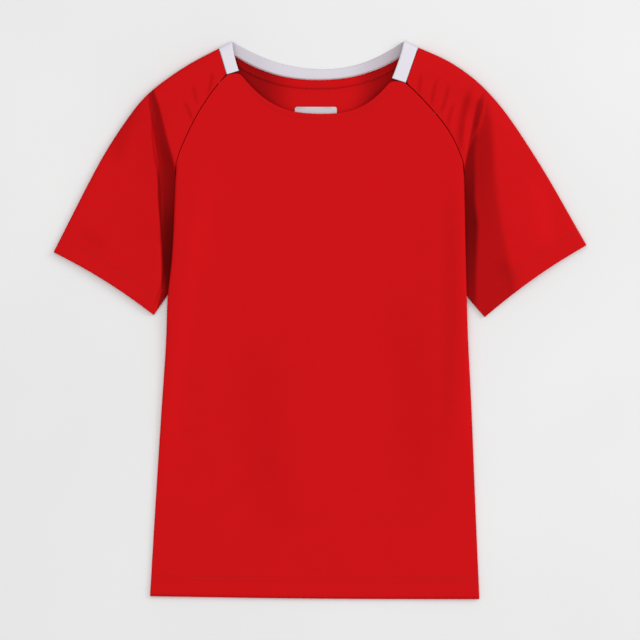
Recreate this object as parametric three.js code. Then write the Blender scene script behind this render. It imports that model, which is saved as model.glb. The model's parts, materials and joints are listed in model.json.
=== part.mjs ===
// A child's short-sleeved training t-shirt, laid out flat on its back.
// Frame: millimetres, +X towards the sleeve on the right of a person looking
// down at it, +Y towards the neck, +Z up off the surface it lies on. The origin
// is on that surface, under the middle of the whole shirt.
//
// Every cloth piece is one wall of even thickness. Its middle surface is a grid
// of points, worked out from the tables below, and wall() gives it thickness.
import * as THREE from 'three';

// ---------------------------------------------------------------- dimensions
const CLOTH = 1.2; // thickness of every cut piece, seam allowance included
const TRIM = 1.0; // thickness of the neck tape and the neck label
const SEAM_GAP = 0.45; // clearance in plan between two pieces that are sewn together
const BAND_GAP = 0.8; // the same between the front and the ends of the neck band
const LAY_GAP = 0.3; // height between the back and what lies on it
const ROLL_GAP = 0.8; // the same between the back and the front's rolled edge
const REST_Z = CLOTH / 2; // middle of the layer that lies on the surface
const TUCK_Z = 2.4; // middle of a sleeve's upper layer where it is tucked in

const NECK = {
  backFree: { lowX: 4, lowY: 251, reachL: 92, riseL: 28, reachR: 80, riseR: 28.3, power: 2.1 },
  backSeam: { lowX: -2, lowY: 240.6, reachL: 83.6, riseL: 24.5, reachR: 82.3, riseR: 22.9, power: 2.3 },
  front: { lowX: 2, lowY: 207, reachL: 83.2, riseL: 42.2, reachR: 70, riseR: 34.6, power: 2.8 },
};

// The white band's front strips: the corners of each strip's lower end, a point
// half way up its free edge, and its apex on the shoulder fold.
const STRIP = {
  left: { seamEnd: [-93.5, 245.3], freeEnd: [-81.2, 249.2], freeMid: [-85.6, 264.5], apex: [-88, 279.3] },
  right: { seamEnd: [86, 237.1], freeEnd: [72, 241.6], freeMid: [79.6, 262.5], apex: [84, 279.4] },
};
const BAND_BACK_START = { left: -77.5, right: 73.5 }; // where its free edge leaves the shoulder
const BAND_STEPS = 18; // steps of the band round the back neck

// The body, from the neck down to the hem. One row for each level: the edge of
// the front on each side, the height of the cloth at the edge and in the middle,
// the height of the fold's underside, and how far the edge has rolled under.
const BODY_ROWS = [
  { leftX: -93.5, leftY: 245.3, rightX: 86.0, rightY: 237.1, edgeZ: 9.0, midZ: 5.0, underZ: 0.6, roll: 0 },
  { leftX: -103.7, leftY: 234.3, rightX: 95.9, rightY: 228.2, edgeZ: 9.0, midZ: 4.7, underZ: 0.6, roll: 0 },
  { leftX: -114.0, leftY: 220.0, rightX: 110.2, rightY: 212.9, edgeZ: 9.0, midZ: 4.3, underZ: 0.6, roll: 0 },
  { leftX: -124.1, leftY: 203.7, rightX: 122.4, rightY: 198.6, edgeZ: 9.0, midZ: 3.8, underZ: 0.6, roll: 0 },
  { leftX: -132.2, leftY: 187.3, rightX: 132.7, rightY: 183.3, edgeZ: 9.0, midZ: 3.4, underZ: 0.6, roll: 0 },
  { leftX: -140.4, leftY: 169.0, rightX: 140.8, rightY: 164.9, edgeZ: 9.0, midZ: 3.1, underZ: 0.6, roll: 0 },
  { leftX: -144.1, leftY: 156.7, rightX: 143.9, rightY: 156.7, edgeZ: 9.2, midZ: 3.0, underZ: 1.8, roll: 0 },
  { leftX: -144.6, leftY: 149.0, rightX: 144.4, rightY: 149.0, edgeZ: 9.5, midZ: 2.9, underZ: 3.4, roll: 0.6 },
  { leftX: -145.0, leftY: 141.0, rightX: 144.6, rightY: 141.0, edgeZ: 9.5, midZ: 2.9, underZ: 4.0, roll: 1 },
  { leftX: -146.5, leftY: 100.0, rightX: 145.5, rightY: 95.0, edgeZ: 9.5, midZ: 2.8, underZ: 4.0, roll: 1 },
  { leftX: -148.5, leftY: 60.0, rightX: 146.3, rightY: 55.0, edgeZ: 9.2, midZ: 2.7, underZ: 4.0, roll: 1 },
  { leftX: -153.0, leftY: 21.0, rightX: 147.3, rightY: 18.0, edgeZ: 8.6, midZ: 2.7, underZ: 4.0, roll: 1 },
  { leftX: -154.0, leftY: -14.0, rightX: 148.3, rightY: -14.0, edgeZ: 6.6, midZ: 2.6, underZ: 0.6, roll: 1 },
  { leftX: -158.8, leftY: -88.0, rightX: 152.0, rightY: -90.0, edgeZ: 4.2, midZ: 2.6, underZ: 0.6, roll: 1 },
  { leftX: -164.5, leftY: -178.0, rightX: 155.5, rightY: -180.0, edgeZ: 3.4, midZ: 2.6, underZ: 0.6, roll: 1 },
  { leftX: -170.4, leftY: -276.4, rightX: 159.8, rightY: -279.4, edgeZ: 2.9, midZ: 2.5, underZ: 0.6, roll: 1 },
];
const UNDERARM_ROW = 6; // the row where the raglan seams end
const RAGLAN_STEPS = 10; // rows that the panels and sleeves share along a raglan seam
const BODY_STEP = 33; // longest step between two rows of the body below that
const HEM_SAG = 1.0; // how far the middle of the hem falls below a straight line
const SIDE_RISE = 80; // how far in from its edge the front climbs to the edge's height
const FLAT_EDGE = 3.0; // width that the roll takes up while it still lies flat
const ROLL_STEPS = 4;
const FRONT_COLUMNS = 16;

// The back lies flat, and its sides climb over the tucked sleeves.
const BACK_RAGLAN = {
  left: [[-84, 264], [-99, 241], [-116, 213], [-131, 185], [-140.5, 160]],
  right: [[80, 263.3], [96, 240], [113, 212], [128, 184], [140, 160]],
};
const TUCK_SHELF = 15; // width of the level strip that lies on a tucked sleeve
const TUCK_SLOPE = 22; // width of the slope from that strip down to the surface

// The sleeves in plan. outer is the fold along the shoulder, from the neck band to
// the cuff, and inner is the edge that faces the body, from below the end of the
// raglan seam to the cuff.
const SLEEVE_OUTLINE = {
  left: {
    outer: [[-101.5, 272], [-130, 257], [-157, 239], [-176, 223], [-191, 204.5],
      [-215, 168], [-233, 135], [-250, 101.5], [-267, 68]],
    inner: [[-146, 148.5], [-142.5, 135], [-137, 108], [-138.5, 71], [-147, 36], [-166.5, 5]],
  },
  right: {
    outer: [[98.5, 273], [127.5, 260], [154, 242], [171.5, 225], [186.5, 207],
      [210.5, 171.5], [230, 140], [248.5, 107.5], [267, 75]],
    inner: [[145.5, 148.5], [141.5, 135], [136, 105], [136.5, 68], [143, 31.5], [165, 3]],
  },
};
const BACK_MEETS = 0.32; // share of inner's length where the lower layer's edge meets it

// The sleeves, one row for each section from the neck band (at 0) to the cuff
// (at 1): the height of the upper layer at its inner edge, the distance from that
// edge and the height of the shelf, trough, ridge and crown of the underarm fold,
// and the height of the outer fold.
const LEFT_SLEEVE = [
  { at: 0, edgeZ: 9, shelf: [5, 9], trough: [10, 9], ridge: [14, 9], crown: [18, 8.9], foldZ: 8.4 },
  { at: 0.12, edgeZ: 9, shelf: [11, 9.1], trough: [18, 8.9], ridge: [23, 9.2], crown: [29, 9], foldZ: 8.6 },
  { at: 0.24, edgeZ: 9, shelf: [20, 9.2], trough: [32, 8.7], ridge: [38, 9.4], crown: [44, 9.2], foldZ: 8.6 },
  { at: 0.33, edgeZ: 9, shelf: [27, 8.8], trough: [46, 6], ridge: [51, 10.2], crown: [55, 9.6], foldZ: 8.5 },
  { at: 0.385, edgeZ: 9.2, shelf: [8, 8], trough: [38, 4], ridge: [42.5, 10.5], crown: [54, 8.6], foldZ: 7.8 },
  { at: 0.42, edgeZ: 5, shelf: [3, 4.4], trough: [32.5, 3], ridge: [36.5, 10.5], crown: [54, 8], foldZ: 7.4 },
  { at: 0.47, edgeZ: 2.4, shelf: [7, 2.4], trough: [29, 2.7], ridge: [33, 10.4], crown: [56, 7.6], foldZ: 7 },
  { at: 0.58, edgeZ: 2.4, shelf: [12, 2.4], trough: [28.5, 2.7], ridge: [32, 10], crown: [62, 7], foldZ: 6.4 },
  { at: 0.72, edgeZ: 2.4, shelf: [12, 2.4], trough: [22.5, 2.7], ridge: [25.5, 9.2], crown: [60, 6.4], foldZ: 5.8 },
  { at: 0.86, edgeZ: 2.4, shelf: [6, 2.4], trough: [11, 2.7], ridge: [14, 7.4], crown: [52, 5.8], foldZ: 5.2 },
  { at: 1, edgeZ: 2.4, shelf: [1.5, 2.5], trough: [3, 2.8], ridge: [5.5, 4], crown: [42, 4.8], foldZ: 4.6 },
];
const RIGHT_SLEEVE = [
  { at: 0, edgeZ: 9, shelf: [8, 9], trough: [15, 9], ridge: [21, 9], crown: [26, 8.9], foldZ: 8.4 },
  { at: 0.12, edgeZ: 9, shelf: [12, 9.2], trough: [22, 8.8], ridge: [30, 9.4], crown: [36, 9.1], foldZ: 8.6 },
  { at: 0.24, edgeZ: 9, shelf: [17, 9.4], trough: [30, 8.2], ridge: [42, 10], crown: [47, 9.6], foldZ: 8.6 },
  { at: 0.33, edgeZ: 9, shelf: [17, 9.6], trough: [32, 4.6], ridge: [52, 11], crown: [57, 10.6], foldZ: 8.6 },
  { at: 0.385, edgeZ: 9.2, shelf: [3.5, 8.8], trough: [21, 3.2], ridge: [52, 12.4], crown: [59, 11.4], foldZ: 8 },
  { at: 0.42, edgeZ: 5, shelf: [3, 4.4], trough: [18, 2.9], ridge: [50, 12.8], crown: [61, 11], foldZ: 7.6 },
  { at: 0.47, edgeZ: 2.4, shelf: [8, 2.4], trough: [20, 2.7], ridge: [50, 12.8], crown: [68, 10.4], foldZ: 7.2 },
  { at: 0.58, edgeZ: 2.4, shelf: [13, 2.4], trough: [24, 2.7], ridge: [53, 12.2], crown: [76, 9.6], foldZ: 6.8 },
  { at: 0.72, edgeZ: 2.4, shelf: [13, 2.4], trough: [23, 2.7], ridge: [57, 11.2], crown: [86, 8.6], foldZ: 6.2 },
  { at: 0.86, edgeZ: 2.4, shelf: [6, 2.4], trough: [14, 2.7], ridge: [60, 9], crown: [90, 7.4], foldZ: 5.6 },
  { at: 1, edgeZ: 2.4, shelf: [1.5, 2.5], trough: [4, 2.8], ridge: [52, 5.8], crown: [84, 5.6], foldZ: 5 },
];
const CUFF_ARCH = 3.3; // how far the middle of a cuff lies inside a straight line
const CUFF_ARCH_FROM = 0.7; // share of the sleeve's length where that arch begins
const UNDERARM_AT = 0.385; // the same share where the raglan seams end
const SLEEVE_ROWS = 13; // rows from there to the cuff
const SLEEVE_PARTS = { shelf: 2, trough: 2, ridge: 2, crown: 2, slope: 3, turn: 4, under: 4 };

const TAPE = { start: 0.8, width: 8.4, fromX: -84, toX: 80, columns: 20 };
const LABEL = { x: -4.2, width: 42, topY: 213.4, height: 14, corner: 2 };

// --------------------------------------------------------------- interpolation
const mix = (a, b, f) => a + (b - a) * f;
const clamp01 = (f) => Math.min(1, Math.max(0, f));
const ease = (f) => clamp01(f) ** 2 * (3 - 2 * clamp01(f));

// A smooth curve through the values that never overshoots them.
function smoothValue(places, values, at) {
  const last = places.length - 1;
  let i = 0;
  while (i < last - 1 && at > places[i + 1]) i += 1;
  const rise = (k) => (values[k + 1] - values[k]) / (places[k + 1] - places[k]);
  const tangent = (k) => {
    if (k === 0) return rise(0);
    if (k === last) return rise(last - 1);
    const before = rise(k - 1);
    const after = rise(k);
    return before * after <= 0 ? 0 : (2 * before * after) / (before + after);
  };
  const span = places[i + 1] - places[i];
  const f = (at - places[i]) / span;
  const startWeight = (1 + 2 * f) * (1 - f) ** 2;
  const endWeight = f * f * (3 - 2 * f);
  const startTurn = f * (1 - f) ** 2 * span;
  const endTurn = f * f * (f - 1) * span;
  return startWeight * values[i] + endWeight * values[i + 1] + startTurn * tangent(i) + endTurn * tangent(i + 1);
}

// The row of a table at a place between its rows, column by column.
function rowAt(rows, places, at) {
  const row = {};
  for (const [column, first] of Object.entries(rows[0])) {
    if (Array.isArray(first)) {
      row[column] = first.map((_, k) => smoothValue(places, rows.map((r) => r[column][k]), at));
    } else {
      row[column] = smoothValue(places, rows.map((r) => r[column]), at);
    }
  }
  return row;
}

// ------------------------------------------------------------------ cloth walls
// A closed wall about a grid of points. Rows run down the piece and columns run
// across it, turned so that rows cross columns points up at the first corner.
function wall(grid, thickness) {
  const rows = grid.length;
  const columns = grid[0].length;
  const vertices = [];
  const point = (i, j) => grid[Math.min(rows - 1, Math.max(0, i))][Math.min(columns - 1, Math.max(0, j))];
  for (const side of [0.5, -0.5]) {
    for (let i = 0; i < rows; i += 1) {
      for (let j = 0; j < columns; j += 1) {
        const down = point(i + 1, j).clone().sub(point(i - 1, j));
        const across = point(i, j + 1).clone().sub(point(i, j - 1));
        const normal = down.cross(across).normalize();
        vertices.push(...point(i, j).clone().addScaledVector(normal, side * thickness).toArray());
      }
    }
  }
  const under = rows * columns;
  const indices = [];
  const quad = (a, b, c, d) => indices.push(a, b, c, a, c, d);
  for (let i = 0; i < rows - 1; i += 1) {
    for (let j = 0; j < columns - 1; j += 1) {
      const a = i * columns + j;
      const b = a + columns;
      quad(a, b, b + 1, a + 1);
      quad(under + a, under + a + 1, under + b + 1, under + b);
    }
  }
  const rim = [];
  for (let i = 0; i < rows - 1; i += 1) rim.push(i * columns);
  for (let j = 0; j < columns - 1; j += 1) rim.push((rows - 1) * columns + j);
  for (let i = rows - 1; i > 0; i -= 1) rim.push(i * columns + columns - 1);
  for (let j = columns - 1; j > 0; j -= 1) rim.push(j);
  rim.forEach((a, k) => {
    const b = rim[(k + 1) % rim.length];
    quad(a, under + a, under + b, b);
  });
  const geometry = new THREE.BufferGeometry();
  geometry.setAttribute('position', new THREE.Float32BufferAttribute(vertices, 3));
  geometry.setIndex(indices);
  return geometry;
}

function clothMesh(name, geometry, colour, roughness) {
  const material = new THREE.MeshStandardMaterial({ color: colour, roughness, metalness: 0 });
  const mesh = new THREE.Mesh(geometry, material);
  mesh.name = name;
  return mesh;
}

// ------------------------------------------------------------------------ neck
// Height of a scooped neckline over X: a power curve on each side of its lowest
// point.
function scoop(line, x) {
  const left = x < line.lowX;
  const reach = left ? line.reachL : line.reachR;
  const rise = left ? line.riseL : line.riseR;
  return line.lowY + rise * (Math.abs(x - line.lowX) / reach) ** line.power;
}

// ------------------------------------------------------------------------ body
// How far along a line of points each one lies.
function lengthsAlong(points) {
  const places = [0];
  for (let k = 1; k < points.length; k += 1) {
    const step = Math.hypot(points[k].x - points[k - 1].x, points[k].y - points[k - 1].y);
    places.push(places[k - 1] + step);
  }
  return places;
}

const bodyPlaces = lengthsAlong(BODY_ROWS.map((row) => ({ x: row.leftX, y: row.leftY })));

const raglanLength = bodyPlaces[UNDERARM_ROW];
const bodyLevels = [];
for (let k = 0; k < RAGLAN_STEPS; k += 1) bodyLevels.push((raglanLength * k) / RAGLAN_STEPS);
for (let from = UNDERARM_ROW; from < BODY_ROWS.length - 1; from += 1) {
  const steps = Math.ceil((bodyPlaces[from + 1] - bodyPlaces[from]) / BODY_STEP);
  for (let step = 0; step < steps; step += 1) {
    bodyLevels.push(mix(bodyPlaces[from], bodyPlaces[from + 1], step / steps));
  }
}
bodyLevels.push(bodyPlaces.at(-1));

// A point of the front's raglan seam, from the neck (0) to the underarm (1).
function frontRaglan(side, down) {
  const row = rowAt(BODY_ROWS, bodyPlaces, down * raglanLength);
  return [row[`${side}X`], row[`${side}Y`]];
}

// A point of an outline, at a share of its length.
function pointAlong(outline, share) {
  const points = outline.map(([x, y]) => ({ x, y }));
  const places = lengthsAlong(points);
  const point = rowAt(points, places, share * places.at(-1));
  return [point.x, point.y];
}

// A point of the back's raglan seam, from the neck (0) to the underarm (1).
function backRaglan(side, down) {
  return pointAlong(BACK_RAGLAN[side], down);
}

// The front's upper edge: the end of one strip, the neckline, the other strip.
function frontTop(f) {
  const { left, right } = STRIP;
  const stripShare = 0.07;
  let x;
  let y;
  if (f < stripShare) {
    x = mix(left.seamEnd[0], left.freeEnd[0], f / stripShare);
    y = mix(left.seamEnd[1], left.freeEnd[1], f / stripShare);
  } else if (f > 1 - stripShare) {
    x = mix(right.freeEnd[0], right.seamEnd[0], (f - 1 + stripShare) / stripShare);
    y = mix(right.freeEnd[1], right.seamEnd[1], (f - 1 + stripShare) / stripShare);
  } else {
    const across = (f - stripShare) / (1 - 2 * stripShare);
    const turn = Math.sin((across - 0.5) * Math.PI) / 2 + 0.5;
    x = mix(left.freeEnd[0], right.freeEnd[0], mix(across, turn, 0.55));
    y = scoop(NECK.front, x);
  }
  return [x, y];
}

// A point of the front inside its edges: the four edges blended.
function frontPlan(row, down, across) {
  const [topX, topY] = frontTop(across);
  const first = frontTop(0);
  const last = frontTop(1);
  const hem = BODY_ROWS.at(-1);
  const hemX = mix(hem.leftX, hem.rightX, across);
  const hemY = mix(hem.leftY, hem.rightY, across) - HEM_SAG * Math.sin(across * Math.PI);
  const cornersX = mix(mix(first[0], last[0], across), mix(hem.leftX, hem.rightX, across), down);
  const cornersY = mix(mix(first[1], last[1], across), mix(hem.leftY, hem.rightY, across), down);
  const x = mix(topX, hemX, down) + mix(row.leftX, row.rightX, across) - cornersX;
  const y = mix(topY, hemY, down) + mix(row.leftY, row.rightY, across) - cornersY;
  return [x, y - BAND_GAP * (1 - down)];
}

// One side's rolled edge, as insets from the outline and heights, from the flat
// cloth outwards.
function rolledEdge(row) {
  const radius = (row.edgeZ - row.underZ) / 2;
  const points = [];
  for (let k = 0; k <= ROLL_STEPS; k += 1) {
    const f = k / ROLL_STEPS;
    const flatInset = mix(FLAT_EDGE, SEAM_GAP, f);
    const rollInset = CLOTH / 2 + radius * (1 - Math.sin(f * Math.PI));
    const rollZ = row.edgeZ - radius * (1 - Math.cos(f * Math.PI));
    points.push([mix(flatInset, rollInset, row.roll), mix(row.edgeZ, rollZ, row.roll)]);
  }
  return points;
}

function frontPanel() {
  const end = bodyPlaces.at(-1);
  const grid = bodyLevels.map((level) => {
    const row = rowAt(BODY_ROWS, bodyPlaces, level);
    const down = level / end;
    const edge = rolledEdge(row);
    const width = Math.hypot(row.rightX - row.leftX, row.rightY - row.leftY);
    const inset = edge[0][0] / width;
    const points = [];
    for (let k = ROLL_STEPS; k > 0; k -= 1) {
      const [x, y] = frontPlan(row, down, edge[k][0] / width);
      points.push(new THREE.Vector3(x, y, edge[k][1]));
    }
    for (let k = 0; k <= FRONT_COLUMNS; k += 1) {
      const across = mix(inset, 1 - inset, k / FRONT_COLUMNS);
      const [x, y] = frontPlan(row, down, across);
      const fromEdge = (Math.min(across, 1 - across) - inset) * width;
      const z = mix(row.edgeZ, row.midZ, ease(fromEdge / Math.min(SIDE_RISE, width / 2)));
      points.push(new THREE.Vector3(x, y, z));
    }
    for (let k = 1; k <= ROLL_STEPS; k += 1) {
      const [x, y] = frontPlan(row, down, 1 - edge[k][0] / width);
      points.push(new THREE.Vector3(x, y, edge[k][1]));
    }
    return points;
  });
  return wall(grid, CLOTH);
}

// The back's outline on one side, from the neck down: its raglan seam, then a
// line just inside the front's rolled edge.
function backEdge(side) {
  const inwards = side === 'left' ? 1 : -1;
  const edge = [];
  for (let k = 0; k <= RAGLAN_STEPS; k += 1) {
    const [x, y] = backRaglan(side, k / RAGLAN_STEPS);
    edge.push({ x: x + inwards * SEAM_GAP, y, z: REST_Z });
  }
  for (const level of bodyLevels) {
    const row = rowAt(BODY_ROWS, bodyPlaces, level);
    if (row.roll > 0) {
      const inset = CLOTH / 2 + (row.edgeZ - row.underZ) / 2 + ROLL_GAP;
      edge.push({ x: row[`${side}X`] + inwards * inset, y: row[`${side}Y`], z: row.underZ });
    }
  }
  return edge;
}

function backPanel() {
  const left = backEdge('left');
  const right = backEdge('right');
  const slopeEnd = TUCK_SHELF + TUCK_SLOPE;
  const insets = [0, TUCK_SHELF / 2, TUCK_SHELF, TUCK_SHELF + TUCK_SLOPE / 3, slopeEnd];
  const sideShare = 0.29; // most of a row's width that one side's insets take up
  const middle = [0.3, 0.4, 0.5, 0.6, 0.7];
  const neckDepth = 0.45; // share of the rows over which the neck's curve fades
  const grid = left.map((a, k) => {
    const b = right[k];
    const width = b.x - a.x;
    const narrow = Math.min(1, (width * sideShare) / slopeEnd);
    const shares = [
      ...insets.map((inset) => [(inset * narrow) / width, inset]),
      ...middle.map((share) => [share, slopeEnd]),
      ...insets.map((inset) => [1 - (inset * narrow) / width, inset]).reverse(),
    ];
    const down = k / (left.length - 1);
    return shares.map(([share, inset]) => {
      const neckX = mix(left[0].x, right[0].x, share);
      const neckDip = scoop(NECK.backSeam, neckX) - SEAM_GAP - mix(left[0].y, right[0].y, share);
      const x = mix(a.x, b.x, share);
      const y = mix(a.y, b.y, share) + neckDip * (1 - ease(down / neckDepth));
      const z = mix(share < 0.5 ? a.z : b.z, REST_Z, ease((inset - TUCK_SHELF) / TUCK_SLOPE));
      return new THREE.Vector3(x, y, z);
    });
  });
  return wall(grid, CLOTH);
}

// --------------------------------------------------------------------- sleeves
// One section of a sleeve: over its upper layer from the front edge, round the
// outer fold, and back along the surface to the back edge.
function sleeveSection(row) {
  const [frontX, frontY] = row.front;
  const [foldX, foldY] = row.fold;
  const length = Math.hypot(foldX - frontX, foldY - frontY);
  const alongX = (foldX - frontX) / length;
  const alongY = (foldY - frontY) / length;
  const place = (distance, z) => new THREE.Vector3(frontX + alongX * distance, frontY + alongY * distance, z);
  const radius = (row.foldZ - REST_Z) / 2;
  const turnAt = length - CLOTH / 2 - radius;
  const knots = [
    { to: [0, row.edgeZ] },
    { to: row.shelf, steps: SLEEVE_PARTS.shelf },
    { to: row.trough, steps: SLEEVE_PARTS.trough },
    { to: row.ridge, steps: SLEEVE_PARTS.ridge },
    { to: row.crown, steps: SLEEVE_PARTS.crown },
    { to: [turnAt, row.foldZ], steps: SLEEVE_PARTS.slope },
  ];
  const points = [place(...knots[0].to)];
  for (let k = 1; k < knots.length; k += 1) {
    const [fromAt, fromZ] = knots[k - 1].to;
    const [toAt, toZ] = knots[k].to;
    for (let step = 1; step <= knots[k].steps; step += 1) {
      const f = step / knots[k].steps;
      points.push(place(mix(fromAt, toAt, f), mix(fromZ, toZ, ease(f))));
    }
  }
  for (let step = 1; step <= SLEEVE_PARTS.turn; step += 1) {
    const angle = (step / SLEEVE_PARTS.turn) * Math.PI;
    points.push(place(turnAt + radius * Math.sin(angle), REST_Z + radius * (1 + Math.cos(angle))));
  }
  const turned = points.at(-1);
  const [backX, backY] = row.back;
  for (let step = 1; step <= SLEEVE_PARTS.under; step += 1) {
    const f = step / SLEEVE_PARTS.under;
    points.push(new THREE.Vector3(mix(turned.x, backX, f), mix(turned.y, backY, f), REST_Z));
  }
  return points;
}

// Where a section's upper layer, outer fold and lower layer end in plan, at a share
// of the sleeve's length.
function sectionEnds(side, at) {
  const { inner, outer } = SLEEVE_OUTLINE[side];
  const fold = pointAlong(outer, at);
  const down = Math.min(1, at / UNDERARM_AT);
  const seam = frontRaglan(side, down);
  const backSeam = backRaglan(side, down);
  if (at <= UNDERARM_AT) return { front: seam, fold, back: backSeam };
  const past = (at - UNDERARM_AT) / (1 - UNDERARM_AT);
  const front = pointAlong([seam, ...inner], past);
  const apart = 1 - ease(past / BACK_MEETS);
  const back = front.map((value, k) => value + (backSeam[k] - seam[k]) * apart);
  return { front, fold, back };
}

function sleeveGrid(table, side) {
  const tablePlaces = table.map((row) => row.at);
  const { outer } = SLEEVE_OUTLINE[side];
  const [cuffX, cuffY] = outer.at(-1);
  const [aboveX, aboveY] = outer.at(-2);
  const hang = new THREE.Vector3(aboveX - cuffX, aboveY - cuffY, 0).normalize();
  const places = [];
  for (let k = 0; k <= RAGLAN_STEPS; k += 1) places.push((UNDERARM_AT * k) / RAGLAN_STEPS);
  for (let k = 1; k <= SLEEVE_ROWS; k += 1) places.push(mix(UNDERARM_AT, 1, k / SLEEVE_ROWS));
  return places.map((at) => {
    const row = { ...rowAt(table, tablePlaces, at), ...sectionEnds(side, at) };
    const points = sleeveSection(row);
    const reach = Math.hypot(row.fold[0] - row.front[0], row.fold[1] - row.front[1]);
    const arch = CUFF_ARCH * ease((at - CUFF_ARCH_FROM) / (1 - CUFF_ARCH_FROM));
    for (const point of points) {
      const across = clamp01(Math.hypot(point.x - row.front[0], point.y - row.front[1]) / reach);
      point.addScaledVector(hang, arch * 4 * across * (1 - across));
    }
    return points;
  });
}

// The rows of a left sleeve are turned over, so that its faces point outwards.
function sleeve(grid, side) {
  return wall(side === 'left' ? grid.map((points) => [...points].reverse()) : grid, CLOTH);
}

// ------------------------------------------------------------------- neck band
// A free-edge point of a strip for a point on the sleeve's upper end.
function stripFreeEdge(seamPoint, side) {
  const strip = STRIP[side];
  const { front, fold, back } = sectionEnds(side, 0);
  const reach = Math.hypot(fold[0] - front[0], fold[1] - front[1]);
  const isUnder = seamPoint.z < REST_Z + 0.01;
  if (!isUnder) {
    const up = Math.hypot(seamPoint.x - front[0], seamPoint.y - front[1]) / reach;
    const bow = 4 * up * (1 - up);
    const chordMidX = (strip.freeEnd[0] + strip.apex[0]) / 2;
    const chordMidY = (strip.freeEnd[1] + strip.apex[1]) / 2;
    const x = mix(strip.freeEnd[0], strip.apex[0], up) + bow * (strip.freeMid[0] - chordMidX);
    const y = mix(strip.freeEnd[1], strip.apex[1], up) + bow * (strip.freeMid[1] - chordMidY);
    return new THREE.Vector3(x, y, seamPoint.z);
  }
  const under = Math.hypot(fold[0] - back[0], fold[1] - back[1]);
  const down = 1 - Math.hypot(seamPoint.x - back[0], seamPoint.y - back[1]) / under;
  const x = mix(strip.apex[0], BAND_BACK_START[side], down);
  return new THREE.Vector3(x, scoop(NECK.backFree, x), seamPoint.z);
}

function neckBand(leftEnd, rightEnd) {
  const rows = [];
  const addRow = (seamPoint, freePoint) => {
    const gap = freePoint.clone().sub(seamPoint).setLength(SEAM_GAP);
    const start = seamPoint.clone().add(gap);
    rows.push([0, 0.5, 1].map((f) => start.clone().lerp(freePoint, f)));
  };
  for (const point of leftEnd) addRow(point, stripFreeEdge(point, 'left'));
  for (let k = 1; k < BAND_STEPS; k += 1) {
    const f = k / BAND_STEPS;
    const seamX = mix(backRaglan('left', 0)[0], backRaglan('right', 0)[0], f);
    const freeX = mix(BAND_BACK_START.left, BAND_BACK_START.right, f);
    const seamPoint = new THREE.Vector3(seamX, scoop(NECK.backSeam, seamX), REST_Z);
    addRow(seamPoint, new THREE.Vector3(freeX, scoop(NECK.backFree, freeX), REST_Z));
  }
  for (const point of [...rightEnd].reverse()) addRow(point, stripFreeEdge(point, 'right'));
  return wall(rows, CLOTH);
}

// -------------------------------------------------------------- tape and label
function neckTape() {
  const z = CLOTH + LAY_GAP + TRIM / 2;
  const rows = [];
  for (let k = 0; k <= TAPE.columns; k += 1) {
    const x = mix(TAPE.fromX, TAPE.toX, k / TAPE.columns);
    const top = scoop(NECK.backSeam, x) - TAPE.start;
    rows.push([new THREE.Vector3(x, top - TAPE.width, z), new THREE.Vector3(x, top, z)]);
  }
  return wall(rows, TRIM);
}

function neckLabel() {
  const { width, height, corner } = LABEL;
  const shape = new THREE.Shape();
  shape.moveTo(-width / 2 + corner, -height);
  shape.lineTo(width / 2 - corner, -height);
  shape.absarc(width / 2 - corner, -height + corner, corner, -Math.PI / 2, 0, false);
  shape.lineTo(width / 2, -corner);
  shape.absarc(width / 2 - corner, -corner, corner, 0, Math.PI / 2, false);
  shape.lineTo(-width / 2 + corner, 0);
  shape.absarc(-width / 2 + corner, -corner, corner, Math.PI / 2, Math.PI, false);
  shape.lineTo(-width / 2, -height + corner);
  shape.absarc(-width / 2 + corner, -height + corner, corner, Math.PI, Math.PI * 1.5, false);
  const geometry = new THREE.ExtrudeGeometry(shape, { depth: TRIM, bevelEnabled: false, curveSegments: 3 });
  geometry.translate(LABEL.x, LABEL.topY, CLOTH + LAY_GAP);
  return geometry;
}

// -------------------------------------------------------------------- assembly
const RED_KNIT = 0xca1519;
const WHITE_KNIT = 0xdddae3;
const LABEL_GREY = 0xc9c4c9;
const KNIT_ROUGHNESS = 0.8;

const leftSleeve = sleeveGrid(LEFT_SLEEVE, 'left');
const rightSleeve = sleeveGrid(RIGHT_SLEEVE, 'right');

const shirt = new THREE.Group();
shirt.add(clothMesh('front_panel', frontPanel(), RED_KNIT, KNIT_ROUGHNESS));
shirt.add(clothMesh('back_panel', backPanel(), RED_KNIT, KNIT_ROUGHNESS));
shirt.add(clothMesh('left_sleeve', sleeve(leftSleeve, 'left'), RED_KNIT, KNIT_ROUGHNESS));
shirt.add(clothMesh('right_sleeve', sleeve(rightSleeve, 'right'), RED_KNIT, KNIT_ROUGHNESS));
shirt.add(clothMesh('neck_band', neckBand(leftSleeve[0], rightSleeve[0]), WHITE_KNIT, KNIT_ROUGHNESS));
shirt.add(clothMesh('neck_tape', neckTape(), RED_KNIT, KNIT_ROUGHNESS));
shirt.add(clothMesh('neck_label', neckLabel(), LABEL_GREY, 0.7));

export default shirt;
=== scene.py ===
"""A training t-shirt laid out flat: cloth shells, seams, stitches, stage and camera."""
import json
import math

import bmesh
import bpy
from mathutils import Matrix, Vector
from mathutils.bvhtree import BVHTree

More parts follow.
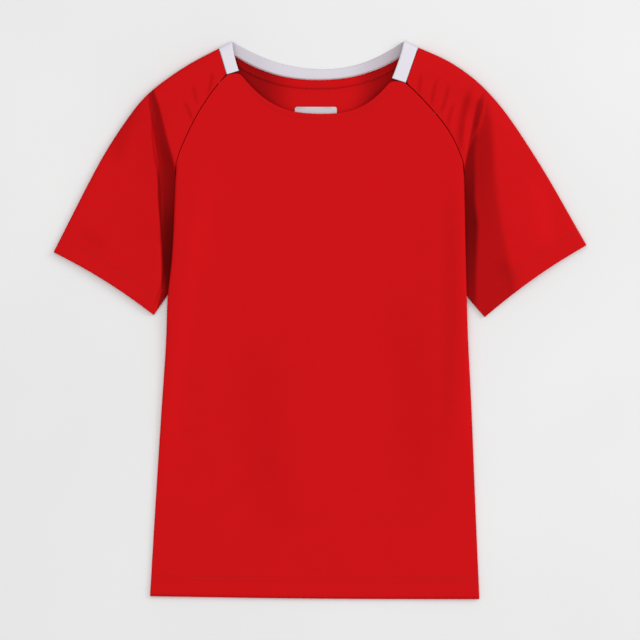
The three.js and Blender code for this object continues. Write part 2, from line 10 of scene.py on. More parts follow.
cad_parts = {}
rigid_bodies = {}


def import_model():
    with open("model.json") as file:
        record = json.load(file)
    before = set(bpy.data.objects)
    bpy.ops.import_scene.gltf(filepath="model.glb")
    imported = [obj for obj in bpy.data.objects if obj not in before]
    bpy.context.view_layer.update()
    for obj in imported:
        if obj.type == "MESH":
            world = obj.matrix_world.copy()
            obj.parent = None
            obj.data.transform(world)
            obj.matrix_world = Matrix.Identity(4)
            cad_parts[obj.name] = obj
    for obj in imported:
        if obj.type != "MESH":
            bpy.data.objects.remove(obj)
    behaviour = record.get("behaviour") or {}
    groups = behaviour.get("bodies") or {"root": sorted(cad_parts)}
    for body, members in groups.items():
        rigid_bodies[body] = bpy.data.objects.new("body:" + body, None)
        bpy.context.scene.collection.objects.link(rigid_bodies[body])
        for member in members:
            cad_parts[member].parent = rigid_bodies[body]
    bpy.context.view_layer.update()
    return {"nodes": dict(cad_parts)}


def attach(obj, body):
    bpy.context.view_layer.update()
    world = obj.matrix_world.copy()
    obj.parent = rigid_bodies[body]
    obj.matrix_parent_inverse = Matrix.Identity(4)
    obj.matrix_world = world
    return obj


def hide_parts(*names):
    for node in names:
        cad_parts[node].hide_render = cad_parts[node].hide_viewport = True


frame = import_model()

bl_info = {
    "name": "Training t-shirt",
    "version": (1, 0, 0),
    "blender": (4, 5, 0),
    "location": "View3D > Sidebar > T-shirt",
    "description": "Builds a laid-out training t-shirt on its packed frame",
    "category": "Add Mesh",
}

MM = 0.001
BODY = "root"

# ------------------------------------------------------------------ sizes, in mm
# A scooped line: a power curve on each side of its lowest point.
NECK_FRONT = {"low": (2, 207), "left": (83.2, 42.2), "right": (70, 34.6), "power": 2.8}
NECK_SEAM = {"low": (-2, 240.6), "left": (83.6, 24.5), "right": (82.3, 22.9), "power": 2.3}

HEM = {"left": (-170.4, -276.4), "right": (159.8, -279.4), "sag": 1.0}
HEM_ROWS = (17.0, 21.0)  # distances of the twin-needle rows from the edge
CUFFS = {
    "left_sleeve": {"inner": (-166.5, 5.1), "outer": (-267, 68), "arch": 3.3},
    "right_sleeve": {"inner": (164.9, 3.1), "outer": (267, 75), "arch": 3.3},
}
CUFF_ROWS = (14.0, 17.5)
NECK_ROW = 5.5  # depth of the turned neckline
NECK_REACH = 84.0  # half the width over which the neckline's edge is turned
NECK_FROM = 190.0  # level above which cloth belongs to the neck
HEM_PROUD = 0.35  # how far a turned edge stands above the single cloth beside it
HEM_MARGIN = 2.0  # cloth between the last stitch row and the raw edge
HEM_STEP = 3.0  # width over which the turned edge drops to the single cloth
ROW_GROOVE = 0.25  # how far the thread pulls the cloth down
GROOVE_WIDTH = 1.3

TAPE_START = 0.8  # distance of the tape from the neck seam
TAPE_ROWS = (7.9, 6.2)  # distances of its stitch rows from its upper edge

# Soft creases of the upper layers. One row for each: its two ends,
# the width of its flank and its depth, which is below zero on a ridge. bend is how
# far its middle is pushed sideways. The back lies flat and has none.
CREASES = {
    "left_sleeve": [
        {"start": (-108, 247), "end": (-113, 226), "width": 1.7, "depth": 1.1, "bend": -0.8},
        {"start": (-127, 235), "end": (-123.5, 216), "width": 1.8, "depth": 0.9, "bend": 0.8},
        {"start": (-137, 218), "end": (-128.5, 199), "width": 2.0, "depth": 1.1, "bend": -1.0},
        {"start": (-205, 158), "end": (-181, 218), "width": 9.0, "depth": 0.9, "bend": -4.0},
        {"start": (-240, 92), "end": (-214, 72), "width": 8.0, "depth": 0.4, "bend": 2.0},
    ],
    "right_sleeve": [
        {"start": (101, 246), "end": (98.5, 226), "width": 1.7, "depth": 1.1, "bend": 0.8},
        {"start": (116.5, 240), "end": (110.5, 214), "width": 1.9, "depth": 1.2, "bend": 1.0},
        {"start": (127.5, 234), "end": (119.5, 206), "width": 1.8, "depth": 1.2, "bend": -1.0},
        {"start": (133.5, 217), "end": (126.5, 192), "width": 1.8, "depth": 1.0, "bend": 1.0},
        {"start": (149, 231), "end": (138.5, 168), "width": 3.4, "depth": 2.0, "bend": 2.0},
        {"start": (166, 231), "end": (147, 170), "width": 2.0, "depth": -1.2, "bend": -4.0},
        {"start": (212, 140), "end": (224, 74), "width": 10.0, "depth": -0.8, "bend": -3.0},
        {"start": (176, 60), "end": (196, 26), "width": 8.0, "depth": 0.6, "bend": -3.0},
    ],
    "front_panel": [
        {"start": (-115, 130), "end": (-155, -160), "width": 9.0, "depth": -0.7, "bend": 4.0},
        {"start": (128, 140), "end": (126, -120), "width": 8.0, "depth": 0.6, "bend": -3.0},
        {"start": (146, 150), "end": (148, -130), "width": 6.0, "depth": -0.7, "bend": 0.0},
        {"start": (-60, -20), "end": (-40, -210), "width": 22.0, "depth": 0.4, "bend": 9.0},
        {"start": (70, 30), "end": (96, -190), "width": 24.0, "depth": 0.4, "bend": -10.0},
    ],
}
CREASE_OVERRUN = 0.15  # share of its length that a crease runs on past each end
CREASE_FADE = 0.45  # share of its length over which it fades

# Painted shade in the underarm folds, one row for each level down the body. edge is
# the side of the fold away from the body, core where its darkest painted shade ends, side
# where it meets the body, and deep and dim how much painted shade the cloth gets at the
# core and at the edge.
UNDERARM_PAINTED_SHADE = {
    "left_sleeve": [
        {"y": 231, "edge": -171, "core": -169, "side": -167, "deep": 0.64, "dim": 0.4},
        {"y": 215, "edge": -171, "core": -167.5, "side": -161, "deep": 0.62, "dim": 0.4},
        {"y": 187, "edge": -166.5, "core": -161.5, "side": -154, "deep": 0.58, "dim": 0.44},
        {"y": 157, "edge": -162, "core": -157.5, "side": -146, "deep": 0.64, "dim": 0.5},
        {"y": 123, "edge": -162, "core": -157, "side": -140, "deep": 0.68, "dim": 0.52},
        {"y": 98, "edge": -160, "core": -157, "side": -138, "deep": 0.86, "dim": 0.58},
        {"y": 57, "edge": -158.5, "core": -156.5, "side": -138, "deep": 0.95, "dim": 0.66},
        {"y": 30, "edge": -158.5, "core": -155, "side": -140, "deep": 0.9, "dim": 0.62},
        {"y": 8, "edge": -164, "core": -160, "side": -140, "deep": 0.66, "dim": 0.56},
    ],
    "right_sleeve": [
        {"y": 232, "edge": 168, "core": 167, "side": 166, "deep": 0.0, "dim": 0.0},
        {"y": 218, "edge": 168, "core": 162, "side": 157, "deep": 0.45, "dim": 0.24},
        {"y": 177, "edge": 172, "core": 156, "side": 149, "deep": 0.66, "dim": 0.27},
        {"y": 150, "edge": 174, "core": 155, "side": 144, "deep": 0.74, "dim": 0.27},
        {"y": 120, "edge": 177, "core": 155, "side": 140, "deep": 0.84, "dim": 0.26},
        {"y": 95, "edge": 181, "core": 158, "side": 138, "deep": 0.86, "dim": 0.25},
        {"y": 45, "edge": 192, "core": 156, "side": 138, "deep": 0.74, "dim": 0.26},
        {"y": 5, "edge": 200, "core": 156, "side": 140, "deep": 0.6, "dim": 0.27},
    ],
}
SHADE_EDGE_FEATHER = {"left_sleeve": 1.4, "right_sleeve": 9.0}  # softness of the painted shade's outer edge
CORE_FEATHER = 5.0  # the same at the core
SIDE_FEATHER = 3.0  # and where the fold meets the body
SHADE_TAIL = 8.0  # how far the painted shade goes on below its last row
CREASE_PAINTED_SHADING = 0.16  # painted shade that a crease one millimetre deep gets, and painted highlight on a ridge
LIT = -0.25  # the lowest painted shading value: a painted highlight on cloth that faces the light
# Painted shade where the cloth lies deep inside the neck: it grows from near to far.
NECK_PAINTED_SHADE = {"left": {"near": -20, "far": -62, "deep": 0.58},
                "right": {"near": 28, "far": 60, "deep": 0.5}}
# The back part of the white band lies in the neck: how much painted shade it gets in the
# middle, and how much more towards each end, from a place over a distance.
BAND_SHADE = {"middle": 0.25, "right": {"more": 0.55, "near": 20, "over": 50},
              "left": {"more": 0.2, "near": 30, "over": 40}}
BAND_STANDS = {"from": 1.5, "over": 2.0}  # heights between which the band leaves the neck
LOWER_TOP = 1.3  # height that the layers on the surface stay below
UPPER_FROM = 1.5  # height above which cloth belongs to an upper layer
UPPER_SPAN = 1.0  # height over which a crease comes to its full depth
LIT_GAIN = 0.12  # painted highlight: how much brighter the cloth is where its painted shading value is LIT
SHARP_RIM = math.radians(68)  # edges of a wall turn by more than this
FLAT_JOIN = math.radians(50)  # triangles that turn by less are joined to quads
FACING_UP = {"from": 0.25, "over": 0.4}  # rise of a normal over which a face counts as upper


# ------------------------------------------------------------------- properties
class TSHIRT_PG_sizes(bpy.types.PropertyGroup):
    """Sizes that a user may change."""
    subdivisions: bpy.props.IntProperty(
        name="Subdivisions", description="Levels of smoothing on each cloth shell",
        default=3, min=1, max=3)
    stitch_pitch: bpy.props.FloatProperty(
        name="Stitch pitch", description="Distance between two stitches of a row",
        default=2.6 * MM, subtype="DISTANCE", unit="LENGTH")
    stitch_length: bpy.props.FloatProperty(
        name="Stitch length", description="Length of the thread seen in one stitch",
        default=2.0 * MM, subtype="DISTANCE", unit="LENGTH")
    stitch_width: bpy.props.FloatProperty(
        name="Stitch width", description="Width of the thread",
        default=0.45 * MM, subtype="DISTANCE", unit="LENGTH")
    knit_pitch: bpy.props.FloatProperty(
        name="Knit pitch", description="Distance between two ribs of the knit",
        default=1.3 * MM, subtype="DISTANCE", unit="LENGTH")


class TSHIRT_PG_colours(bpy.types.PropertyGroup):
    """Colours that a user may change, as sRGB hex."""
    red: bpy.props.StringProperty(
        name="Red knit", description="Colour of the body and sleeves", default="c81014")
    # Painted shade: the colour that folds, creases and the inside of the neck are painted
    # towards.
    shade: bpy.props.StringProperty(
        name="Deep red", description="Colour of the knit deep in a fold", default="560202")
    white: bpy.props.StringProperty(
        name="White knit", description="Colour of the neck band", default="dedbe4")
    # Painted shade: the colour that the band is painted towards inside the neck.
    white_shade: bpy.props.StringProperty(
        name="Shaded white", description="Colour of the neck band inside the neck",
        default="b4a8b0")
    tape: bpy.props.StringProperty(
        name="Neck tape", description="Colour of the tape inside the neck", default="c80d11")
    thread: bpy.props.StringProperty(
        name="Thread", description="Colour of the stitches", default="b01014")
    label: bpy.props.StringProperty(
        name="Label", description="Colour of the neck label", default="c6c1c6")
    floor: bpy.props.StringProperty(
        name="Floor", description="Colour of the pale floor", default="e6e6e6")


def sizes():
    return bpy.context.scene.tshirt_sizes


def colours():
    return bpy.context.scene.tshirt_colours


# -------------------------------------------------------------------- materials
def linear(code):
    """An sRGB hex colour as a linear RGBA tuple."""
    parts = [int(code[k:k + 2], 16) / 255 for k in (0, 2, 4)]
    curve = [c / 12.92 if c <= 0.04045 else ((c + 0.055) / 1.055) ** 2.4 for c in parts]
    return (*curve, 1.0)


def add(tree, kind, settings=None, links=None):
    """A node of that kind, with its settings, and links from other sockets."""
    node = tree.nodes.new(kind)
    for key, value in (settings or {}).items():
        if isinstance(key, int) or key in node.inputs:
            node.inputs[key].default_value = value
        else:
            setattr(node, key, value)
    for key, socket in (links or {}).items():
        tree.links.new(socket, node.inputs[key])
    return node


def new_material(name):
    material = bpy.data.materials.new(name)
    material.use_nodes = True
    material.node_tree.nodes.clear()
    return material, material.node_tree


def polyester_knit(name, colour, deep, roughness=0.78, sheen=0.08):
    """Fine polyester interlock: matt, with vertical ribs of stitches and a soft
    sheen at grazing angles. The painted shading attribute paints shade into folds and creases,
    and a painted highlight where its value is below zero."""
    material, tree = new_material(name)
    place = add(tree, "ShaderNodeTexCoord").outputs["Object"]
    pitch = sizes().knit_pitch
    ribs = add(tree, "ShaderNodeTexWave",
               {"wave_type": "BANDS", "bands_direction": "X", "Scale": 2 * math.pi / pitch / 20,
                "Distortion": 0.6, "Detail": 1.0, "Detail Scale": 2.0}, {"Vector": place})
    rows = add(tree, "ShaderNodeTexWave",
               {"wave_type": "BANDS", "bands_direction": "Y", "Scale": 2 * math.pi / pitch / 28,
                "Distortion": 0.4}, {"Vector": place})
    loops = add(tree, "ShaderNodeMath", {"operation": "MULTIPLY"},
                {0: ribs.outputs["Fac"], 1: rows.outputs["Fac"]})
    # Slight unevenness of the dye and of the cloth's hand, a few centimetres wide.
    mottle = add(tree, "ShaderNodeTexNoise", {"Scale": 38.0, "Detail": 3.0, "Roughness": 0.55},
                 {"Vector": place})
    fibre = add(tree, "ShaderNodeTexNoise", {"Scale": 900.0, "Detail": 2.0}, {"Vector": place})
    # Painted shade and highlight: each point's painted shading value mixes the knit towards the
    # deep red in folds, creases and the neck corners, and brightens it on ridges.
    painted_shading = add(tree, "ShaderNodeAttribute", {"attribute_name": "painted_shading"})
    red_with_painted_shading = add(tree, "ShaderNodeMix", {"data_type": "RGBA", 6: linear(colour), 7: linear(deep)},
               {0: painted_shading.outputs["Fac"]})
    tone = add(tree, "ShaderNodeMapRange", {3: 0.97, 4: 1.03}, {0: mottle.outputs["Fac"]})
    # A painted shading value below zero is a painted highlight on cloth that faces the light.
    lit = add(tree, "ShaderNodeMapRange", {1: LIT, 2: 0.0, 3: 1.0 + LIT_GAIN, 4: 1.0},
              {0: painted_shading.outputs["Fac"]})
    lit_tone = add(tree, "ShaderNodeMath", {"operation": "MULTIPLY"},
                   {0: tone.outputs[0], 1: lit.outputs[0]})
    grain = add(tree, "ShaderNodeMapRange", {3: 0.96, 4: 1.04}, {0: loops.outputs[0]})
    both = add(tree, "ShaderNodeMath", {"operation": "MULTIPLY"},
               {0: lit_tone.outputs[0], 1: grain.outputs[0]})
    shaded_knit_colour = add(tree, "ShaderNodeVectorMath", {"operation": "SCALE"},
                 {0: red_with_painted_shading.outputs[2], "Scale": both.outputs[0]})
    relief = add(tree, "ShaderNodeMath", {"operation": "MULTIPLY_ADD", 1: 0.25},
                 {0: fibre.outputs["Fac"], 2: loops.outputs[0]})
    bump = add(tree, "ShaderNodeBump", {"Strength": 0.25, "Distance": 0.15 * MM},
               {"Height": relief.outputs[0]})
    shader = add(tree, "ShaderNodeBsdfPrincipled",
                 {"Roughness": roughness, "Specular IOR Level": 0.04, "Sheen Weight": sheen,
                  "Sheen Roughness": 0.45},
                 {"Base Color": shaded_knit_colour.outputs[0], "Normal": bump.outputs[0]})
    shader.inputs["Sheen Tint"].default_value = linear(colour)
    add(tree, "ShaderNodeOutputMaterial", {}, {"Surface": shader.outputs[0]})
    return material


def plain_cloth(name, colour, roughness, scale):
    """Label satin, thread or a paper floor: one matt colour, slightly uneven."""
    material, tree = new_material(name)
    place = add(tree, "ShaderNodeTexCoord").outputs["Object"]
    weave = add(tree, "ShaderNodeTexNoise", {"Scale": scale, "Detail": 2.0}, {"Vector": place})
    tone = add(tree, "ShaderNodeMapRange", {3: 0.93, 4: 1.05}, {0: weave.outputs["Fac"]})
    base = add(tree, "ShaderNodeVectorMath", {"operation": "SCALE", 0: linear(colour)[:3]},
               {"Scale": tone.outputs[0]})
    bump = add(tree, "ShaderNodeBump", {"Strength": 0.2, "Distance": 0.1 * MM},
               {"Height": weave.outputs["Fac"]})
    shader = add(tree, "ShaderNodeBsdfPrincipled",
                 {"Roughness": roughness, "Specular IOR Level": 0.25},
                 {"Base Color": base.outputs[0], "Normal": bump.outputs[0]})
    add(tree, "ShaderNodeOutputMaterial", {}, {"Surface": shader.outputs[0]})
    return material


# ----------------------------------------------------------------- shape helpers
def smooth(f):
    f = min(1.0, max(0.0, f))
    return f * f * (3 - 2 * f)


def scoop(line, x):
    """Height of a scooped line over x."""
    low_x, low_y = line["low"]
    reach, rise = line["left"] if x < low_x else line["right"]
    return low_y + rise * (abs(x - low_x) / reach) ** line["power"]


def hem_line(x):
    (left_x, left_y), (right_x, right_y) = HEM["left"], HEM["right"]
    across = min(1.0, max(0.0, (x - left_x) / (right_x - left_x)))
    return left_y + (right_y - left_y) * across - HEM["sag"] * math.sin(across * math.pi)


def cuff_place(cuff, x, y):
    """How far across a cuff a point lies (0 to 1), and how far inside its edge."""
    inner, outer = Vector(cuff["inner"]), Vector(cuff["outer"])
    along = (outer - inner).normalized()
    inside = Vector((-along.y, along.x))
    if inside.y < 0:
        inside = -inside
    offset = Vector((x, y)) - inner
    across = offset.dot(along) / (outer - inner).length
    bow = cuff["arch"] * 4 * max(0.0, across * (1 - across))
    return across, offset.dot(inside) - bow


def crease_depth(crease, x, y):
    """Depth of one crease at a point: full in its middle, fading at its ends."""
    start, end = Vector(crease["start"]), Vector(crease["end"])
    run = end - start
    offset = Vector((x, y)) - start
    along = offset.dot(run) / run.length_squared
    if not -CREASE_OVERRUN < along < 1 + CREASE_OVERRUN:
        return 0.0
    across = (offset.x * run.y - offset.y * run.x) / run.length
    across -= crease["bend"] * math.sin(min(1.0, max(0.0, along)) * math.pi)
    fade_in = smooth((along + CREASE_OVERRUN) / CREASE_FADE)
    fade_out = smooth((1 + CREASE_OVERRUN - along) / CREASE_FADE)
    return crease["depth"] * fade_in * fade_out * math.exp(-(across / crease["width"]) ** 2)


def turned_edge(distance, rows):
    """Height that a turned edge adds, and the groove of its stitch rows."""
    proud = HEM_PROUD * smooth((rows[-1] + HEM_MARGIN - distance) / HEM_STEP)
    groove = sum(math.exp(-((distance - row) / GROOVE_WIDTH) ** 2) for row in rows)
    return proud - ROW_GROOVE * groove


def creased(node, x, y):
    """Height that the creases take from a piece's upper layer, or add to it."""
    return -sum(crease_depth(crease, x, y) for crease in CREASES.get(node, []))


def sewn(node, x, y):
    """Height that turned edges and their stitch rows add to an upper face."""
    height = 0.0
    if node == "front_panel":
        height += turned_edge(y - hem_line(x), HEM_ROWS)
        if abs(x) < NECK_REACH and y > NECK_FROM:
            height += turned_edge(scoop(NECK_FRONT, x) - y, (NECK_ROW,))
    if node in CUFFS:
        across, inside = cuff_place(CUFFS[node], x, y)
        if -0.1 < across < 1.1:
            height += turned_edge(inside, CUFF_ROWS)
    return height


# ------------------------------------------------------------------ cloth shells
def shell_from_solid(node, levels):
    """A smooth shell on a solid's form: its walls as quads, rims kept sharp, and
    each wall subdivided."""
    shell = bmesh.new()
    shell.from_mesh(frame["nodes"][node].data)
    bmesh.ops.remove_doubles(shell, verts=shell.verts, dist=1e-6)
    bmesh.ops.join_triangles(
        shell, faces=shell.faces, angle_face_threshold=FLAT_JOIN,
        angle_shape_threshold=FLAT_JOIN)
    crease = shell.edges.layers.float.new("crease_edge")
    for edge in shell.edges:
        if edge.calc_face_angle(0.0) > SHARP_RIM:
            edge[crease] = 1.0
    mesh = bpy.data.meshes.new(node + "_cage")
    shell.to_mesh(mesh)
    shell.free()
    cage = bpy.data.objects.new(node + "_cage", mesh)
    bpy.context.collection.objects.link(cage)
    smoother = cage.modifiers.new("smooth", "SUBSURF")
    smoother.levels = levels
    smoother.render_levels = levels
    evaluated = cage.evaluated_get(bpy.context.evaluated_depsgraph_get())
    fine = bpy.data.meshes.new_from_object(evaluated)
    bpy.data.objects.remove(cage)
    return fine


def shade_row(rows, y):
    """The row of underarm painted shade at a level, blended between two rows."""
    if not rows[-1]["y"] - SHADE_TAIL < y < rows[0]["y"]:
        return None
    for upper, lower in zip(rows, rows[1:]):
        if y >= lower["y"]:
            break
    f = min(1.0, (upper["y"] - y) / (upper["y"] - lower["y"]))
    return {key: upper[key] + (lower[key] - upper[key]) * f for key in upper}


def underarm_painted_shade_at(node, x, y):
    """How much painted shade a sleeve's upper layer gets in the underarm fold."""
    row = shade_row(UNDERARM_PAINTED_SHADE[node], y)
    if row is None:
        return 0.0
    outward = 1.0 if row["edge"] > row["side"] else -1.0
    past_edge = (x - row["edge"]) * outward
    past_core = (x - row["core"]) * outward
    past_side = (x - row["side"]) * outward
    inside = 1.0 - smooth(past_edge / SHADE_EDGE_FEATHER[node] + 0.5)
    # Painted shade: deep at the core, dim towards the fold's outer edge.
    depth = row["deep"] + (row["dim"] - row["deep"]) * smooth(past_core / CORE_FEATHER + 0.5)
    return depth * inside * smooth(past_side / SIDE_FEATHER + 0.5)


def neck_painted_shade_at(x):
    """How much painted shade the inside of the back gets, growing towards the shoulders."""
    corner = NECK_PAINTED_SHADE["left" if x < 0 else "right"]
    return corner["deep"] * smooth((x - corner["near"]) / (corner["far"] - corner["near"]))


def band_painted_shade_at(x, z):
    """How much painted shade the band gets: its back lies in the neck, its strips stand up."""
    behind = 1.0 - smooth((z - BAND_STANDS["from"]) / BAND_STANDS["over"])
    shaded = BAND_SHADE["middle"]
    for end, place in (("right", x), ("left", -x)):
        shade = BAND_SHADE[end]
        shaded += shade["more"] * smooth((place - shade["near"]) / shade["over"])
    return shaded * behind


def painted_shading_at(node, x, y, z):
    """How much painted shade a point of a piece gets: up to 1, and below 0 a painted highlight
    where it faces the light.
    """
    if node in ("back_panel", "neck_tape"):
        return neck_painted_shade_at(x) if y > NECK_FROM else 0.0
    if node == "neck_band":
        return band_painted_shade_at(x, z)
    # Painted shade in creases and a painted highlight on ridges, in proportion to their depth.
    painted_value = max(LIT, -CREASE_PAINTED_SHADING * creased(node, x, y))
    # Painted shade in the underarm fold, on the upper layer only.
    if node in UNDERARM_PAINTED_SHADE and z > LOWER_TOP:
        painted_value += underarm_painted_shade_at(node, x, y)
    return min(1.0, painted_value)


def cloth(node, name, material, levels):
    """One finished piece of cloth: its shell, relief, painted shade and highlight, and
    material.
    """
    mesh = shell_from_solid(node, levels)
    normals = [vertex.normal.copy() for vertex in mesh.vertices]
    for vertex, normal in zip(mesh.vertices, normals):
        x, y, z = vertex.co / MM
        upper = smooth((z - UPPER_FROM) / UPPER_SPAN)
        # A crease moves both faces of the upper layer, and never into the lower one.
        vertex.co.z += max(creased(node, x, y) * upper, min(0.0, UPPER_FROM - z)) * MM
        facing = smooth((normal.z - FACING_UP["from"]) / FACING_UP["over"])
        vertex.co.z += sewn(node, x, y) * MM * facing * upper
    # Painted shade and highlight per point: darker in folds, creases and the neck, lighter on
    # ridges.
    layer = mesh.attributes.new("painted_shading", "FLOAT", "POINT")
    layer.data.foreach_set(
        "value", [painted_shading_at(node, *(vertex.co / MM)) for vertex in mesh.vertices])
    piece = bpy.data.objects.new(name, mesh)
    bpy.context.collection.objects.link(piece)
    mesh.materials.clear()
    mesh.materials.append(material)
    mesh.polygons.foreach_set("use_smooth", [True] * len(mesh.polygons))
    mesh.set_sharp_from_angle(angle=math.radians(60))
    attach(piece, BODY)
    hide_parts(node)
    return piece


# ---------------------------------------------------------------------- stitches
def stitch_tree():
    """Rows of edges become rows of short, slim threads."""
    tree = bpy.data.node_groups.new("stitch_rows", "GeometryNodeTree")
    face = tree.interface
    face.new_socket("Geometry", in_out="INPUT", socket_type="NodeSocketGeometry")
    for title in ("Pitch", "Length", "Width"):
        face.new_socket(title, in_out="INPUT", socket_type="NodeSocketFloat")
    face.new_socket("Thread", in_out="INPUT", socket_type="NodeSocketMaterial")
    face.new_socket("Geometry", in_out="OUTPUT", socket_type="NodeSocketGeometry")
    entry = add(tree, "NodeGroupInput").outputs
    curve = add(tree, "GeometryNodeMeshToCurve", {}, {"Mesh": entry["Geometry"]})
    points = add(tree, "GeometryNodeResampleCurve", {"mode": "LENGTH"},
                 {"Curve": curve.outputs[0], "Length": entry["Pitch"]})
    tangent = add(tree, "GeometryNodeInputTangent")
    turn = add(tree, "FunctionNodeAlignRotationToVector", {"axis": "X"},
               {"Vector": tangent.outputs[0]})
    bead = add(tree, "GeometryNodeMeshIcoSphere", {"Radius": 0.5, "Subdivisions": 2})
    size = add(tree, "ShaderNodeCombineXYZ", {},
               {"X": entry["Length"], "Y": entry["Width"], "Z": entry["Width"]})
    threads = add(tree, "GeometryNodeInstanceOnPoints", {},
                  {"Points": points.outputs[0], "Instance": bead.outputs[0],
                   "Rotation": turn.outputs[0], "Scale": size.outputs[0]})
    real = add(tree, "GeometryNodeRealizeInstances", {}, {"Geometry": threads.outputs[0]})
    painted = add(tree, "GeometryNodeSetMaterial", {},
                  {"Geometry": real.outputs[0], "Material": entry["Thread"]})
    add(tree, "NodeGroupOutput", {}, {"Geometry": painted.outputs[0]})
    return tree


def stitches(name, rows, thread):
    """One mesh of all the stitches along some rows of points."""
    points = [point for row in rows for point in row]
    edges = []
    first = 0
    for row in rows:
        edges += [(first + k, first + k + 1) for k in range(len(row) - 1)]
        first += len(row)
    mesh = bpy.data.meshes.new(name + "_rows")
    mesh.from_pydata(points, edges, [])
    path = bpy.data.objects.new(name + "_rows", mesh)
    bpy.context.collection.objects.link(path)
    tree = stitch_tree()
    modifier = path.modifiers.new("stitches", "NODES")
    modifier.node_group = tree
    values = {"Pitch": sizes().stitch_pitch, "Length": sizes().stitch_length,
              "Width": sizes().stitch_width, "Thread": thread}
    for item in tree.interface.items_tree:
        if item.in_out == "INPUT" and item.name in values:
            modifier[item.identifier] = values[item.name]
    evaluated = path.evaluated_get(bpy.context.evaluated_depsgraph_get())
    finished = bpy.data.meshes.new_from_object(evaluated)
    bpy.data.objects.remove(path)
    if not finished.polygons:
        raise RuntimeError(name + " has no stitches")
    finished.polygons.foreach_set("use_smooth", [True] * len(finished.polygons))
    piece = bpy.data.objects.new(name, finished)
    bpy.context.collection.objects.link(piece)
    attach(piece, BODY)
    return piece


def on_cloth(piece, row, lift=0.1):
    """The points of a row dropped on a piece of cloth, those that miss it left out."""
    mesh = piece.data
    tree = BVHTree.FromPolygons(
        [vertex.co for vertex in mesh.vertices], [tuple(p.vertices) for p in mesh.polygons])
    placed = []
    for x, y in row:
        hit = tree.ray_cast(Vector((x * MM, y * MM, 0.1)), Vector((0, 0, -1)))[0]
        if hit is not None:
            placed.append(hit + Vector((0, 0, lift * MM)))
    return placed


def steps(start, end, count):
    return [start + (end - start) * k / count for k in range(count + 1)]


def cuff_row(cuff, inside):
    """A row that keeps the same distance from a cuff's arched edge."""
    inner, outer = Vector(cuff["inner"]), Vector(cuff["outer"])
    along = (outer - inner).normalized()
    up = Vector((-along.y, along.x))
    if up.y < 0:
        up = -up
    row = []
    for across in steps(-0.02, 1.0, 40):
        bow = cuff["arch"] * 4 * max(0.0, across * (1 - across))
        row.append(tuple(inner + (outer - inner) * across + up * (inside + bow)))
    return row


# --------------------------------------------------------------------- operators
def knit_material():
    found = bpy.data.materials.get("red_polyester_interlock")
    return found or polyester_knit("red_polyester_interlock", colours().red, colours().shade)


def thread_material():
    found = bpy.data.materials.get("red_polyester_thread")
    return found or plain_cloth("red_polyester_thread", colours().thread, 0.6, 2500.0)


class TSHIRT_OT_body(bpy.types.Operator):
    """Builds the front and back panels"""
    bl_idname = "tshirt.body"
    bl_label = "Front and back"

    def execute(self, context):
        knit = knit_material()
        levels = sizes().subdivisions
        back = cloth("back_panel", "back_cloth", knit, min(2, levels))
        front = cloth("front_panel", "front_cloth", knit, levels)
        return {"FINISHED"}


class TSHIRT_OT_sleeves(bpy.types.Operator):
    """Builds the two raglan sleeves"""
    bl_idname = "tshirt.sleeves"
    bl_label = "Sleeves"

    def execute(self, context):
        knit = knit_material()
        for side in ("left", "right"):
            sleeve = cloth(side + "_sleeve", side + "_sleeve_cloth", knit,
                           sizes().subdivisions)
        return {"FINISHED"}


class TSHIRT_OT_neck(bpy.types.Operator):
    """Builds the white neck band, the back neck tape and the plain label"""
    bl_idname = "tshirt.neck"
    bl_label = "Neck"

    def execute(self, context):
        # Painted shade: the band darkens towards the shaded white inside the neck.
        white = polyester_knit("white_polyester_interlock", colours().white,
                               colours().white_shade, 0.7, 0.04)
        band = cloth("neck_band", "neck_band_cloth", white, 2)
        # The tape gets painted shade towards the neck corners.
        ribbon = polyester_knit("red_knit_tape", colours().tape, colours().shade, 0.8, 0.04)
        tape = cloth("neck_tape", "neck_tape_cloth", ribbon, 2)
        satin = plain_cloth("label_satin", colours().label, 0.5, 1800.0)
        label = cloth("neck_label", "neck_label_cloth", satin, 1)
        return {"FINISHED"}


class TSHIRT_OT_stitches(bpy.types.Operator):
    """Sews the rows of stitches on the hem, cuffs, neckline and tape"""
    bl_idname = "tshirt.stitches"
    bl_label = "Stitches"

    def execute(self, context):
        objects = bpy.data.objects
        front = objects["front_cloth"]
        across = steps(-168.0, 158.0, 90)
        rows = [on_cloth(front, [(x, hem_line(x) + up) for x in across]) for up in HEM_ROWS]
        # The row keeps its distance where the neckline turns steep near the strips.
        neck = [(x, scoop(NECK_FRONT, x) - NECK_ROW - 3.0 * (abs(x) / 80) ** 3)
                for x in steps(-78.0, 68.0, 60)]
        rows.append(on_cloth(front, neck))
        stitches("body_stitches", rows, thread_material())
        for node, cuff in CUFFS.items():
            sleeve = objects[node + "_cloth"]
            rows = [on_cloth(sleeve, cuff_row(cuff, inside)) for inside in CUFF_ROWS]
            stitches(node + "_stitches", rows, thread_material())
        tape = objects["neck_tape_cloth"]
        rows = []
        for down in TAPE_ROWS:
            row = [(x, scoop(NECK_SEAM, x) - TAPE_START - down) for x in steps(-80.0, 76.0, 60)]
            rows.append(on_cloth(tape, row))
        stitches("tape_stitches", rows, thread_material())
        return {"FINISHED"}


def area_light(name, place, size, power, aim=(0, 0, 0)):
    data = bpy.data.lights.new(name, "AREA")
    data.shape = "SQUARE"
    data.size = size
    data.energy = power
    light = bpy.data.objects.new(name, data)
    light.location = place
    light.rotation_euler = (Vector(aim) - Vector(place)).to_track_quat("-Z", "Y").to_euler()
    bpy.context.collection.objects.link(light)


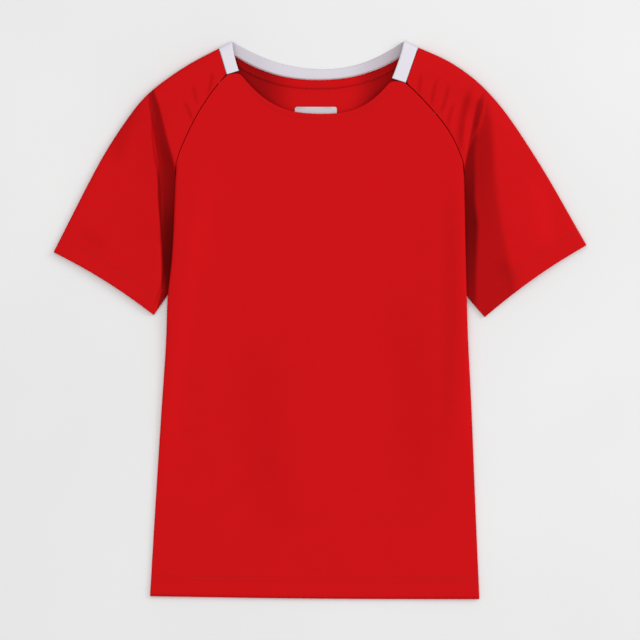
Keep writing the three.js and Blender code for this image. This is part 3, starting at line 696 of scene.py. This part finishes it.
class TSHIRT_OT_stage(bpy.types.Operator):
    """Makes the pale floor, the soft light and the camera above the shirt"""
    bl_idname = "tshirt.stage"
    bl_label = "Stage"

    def execute(self, context):
        scene = context.scene
        mesh = bpy.data.meshes.new("floor")
        reach = 4.0
        drop = -0.2 * MM
        corners = [(-reach, -reach, drop), (reach, -reach, drop), (reach, reach, drop),
                   (-reach, reach, drop)]
        mesh.from_pydata(corners, [], [(0, 1, 2, 3)])
        floor = bpy.data.objects.new("floor", mesh)
        scene.collection.objects.link(floor)
        mesh.materials.append(plain_cloth("pale_floor", colours().floor, 0.9, 3.0))
        world = bpy.data.worlds.new("studio")
        world.use_nodes = True
        world.node_tree.nodes["Background"].inputs[0].default_value = (1, 1, 1, 1)
        world.node_tree.nodes["Background"].inputs[1].default_value = 0.57
        scene.world = world
        area_light("overhead", (-0.2, 0.2, 3.4), 3.4, 54.0)
        area_light("key", (2.1, 0.9, 1.5), 1.2, 20.0)
        camera_data = bpy.data.cameras.new("camera")
        height = 3.0
        view_width = 0.640
        camera_data.lens = camera_data.sensor_width * height / view_width
        camera = bpy.data.objects.new("camera", camera_data)
        camera.location = (0, 0, height + 0.006)
        scene.collection.objects.link(camera)
        scene.camera = camera
        scene.view_settings.view_transform = "Standard"
        return {"FINISHED"}


class TSHIRT_PT_panel(bpy.types.Panel):
    """Lists the sizes, colours and steps"""
    bl_idname = "TSHIRT_PT_panel"
    bl_label = "Training t-shirt"
    bl_space_type = "VIEW_3D"
    bl_region_type = "UI"
    bl_category = "T-shirt"

    def draw(self, context):
        for group in (context.scene.tshirt_sizes, context.scene.tshirt_colours):
            for key in group.__annotations__:
                self.layout.prop(group, key)
        for operator in OPERATORS:
            self.layout.operator(operator.bl_idname)


OPERATORS = (TSHIRT_OT_body, TSHIRT_OT_sleeves, TSHIRT_OT_neck, TSHIRT_OT_stitches,
             TSHIRT_OT_stage)
CLASSES = (TSHIRT_PG_sizes, TSHIRT_PG_colours, *OPERATORS, TSHIRT_PT_panel)


def register():
    for kind in CLASSES:
        bpy.utils.register_class(kind)
    bpy.types.Scene.tshirt_sizes = bpy.props.PointerProperty(type=TSHIRT_PG_sizes)
    bpy.types.Scene.tshirt_colours = bpy.props.PointerProperty(type=TSHIRT_PG_colours)


def unregister():
    del bpy.types.Scene.tshirt_colours
    del bpy.types.Scene.tshirt_sizes
    for kind in reversed(CLASSES):
        bpy.utils.unregister_class(kind)


def main():
    register()
    bpy.ops.tshirt.body()
    bpy.ops.tshirt.sleeves()
    bpy.ops.tshirt.neck()
    bpy.ops.tshirt.stitches()
    bpy.ops.tshirt.stage()


if __name__ == "__main__":
    main()
